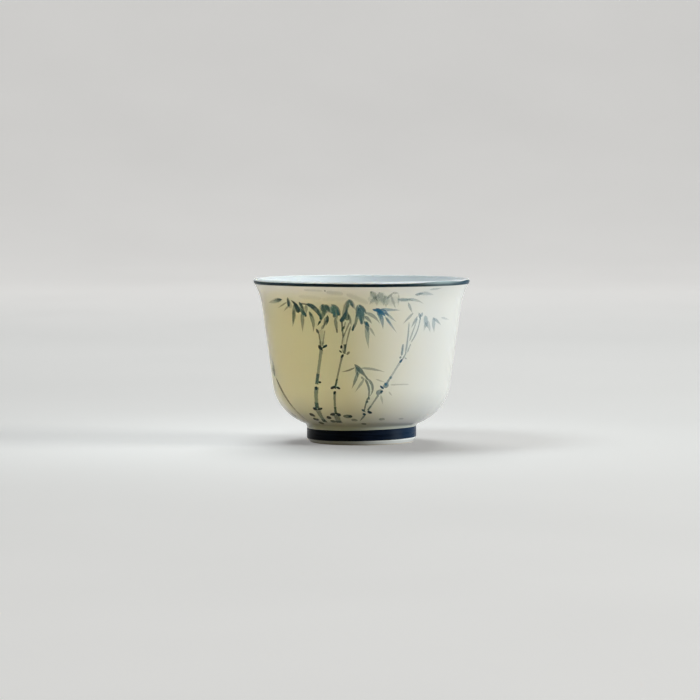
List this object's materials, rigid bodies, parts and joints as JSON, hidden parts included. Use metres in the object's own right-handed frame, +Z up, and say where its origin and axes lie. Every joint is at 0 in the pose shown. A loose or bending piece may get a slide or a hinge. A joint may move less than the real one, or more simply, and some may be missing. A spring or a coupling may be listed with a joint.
{
  "type": "teacup",
  "caption": "Small handleless gongfu teacup in white glazed porcelain, bell-shaped with a flared lip, on a ring foot, with dark blue lines round the lip and foot.",
  "frame": {"origin": "centre of the foot, on the surface the cup stands on", "axes": "+Z up along the axis of the cup; -Y towards the viewer of the picture; +X to that viewer's right"},
  "size_m": [0.066, 0.066, 0.05],
  "materials": {
    "glazed_porcelain": "clear glossy glaze over warm white porcelain",
    "foot_porcelain": "glazed white porcelain, bare on the ring that stands on the table",
    "cobalt_line": "near-black cobalt blue under clear glaze",
    "cobalt_band": "near-black cobalt blue under clear glaze"
  },
  "bodies": {
    "root": {"bowl": "glazed_porcelain", "foot_ring": "foot_porcelain", "rim_line": "cobalt_line", "foot_band": "cobalt_band"}
  },
  "joints": []
}
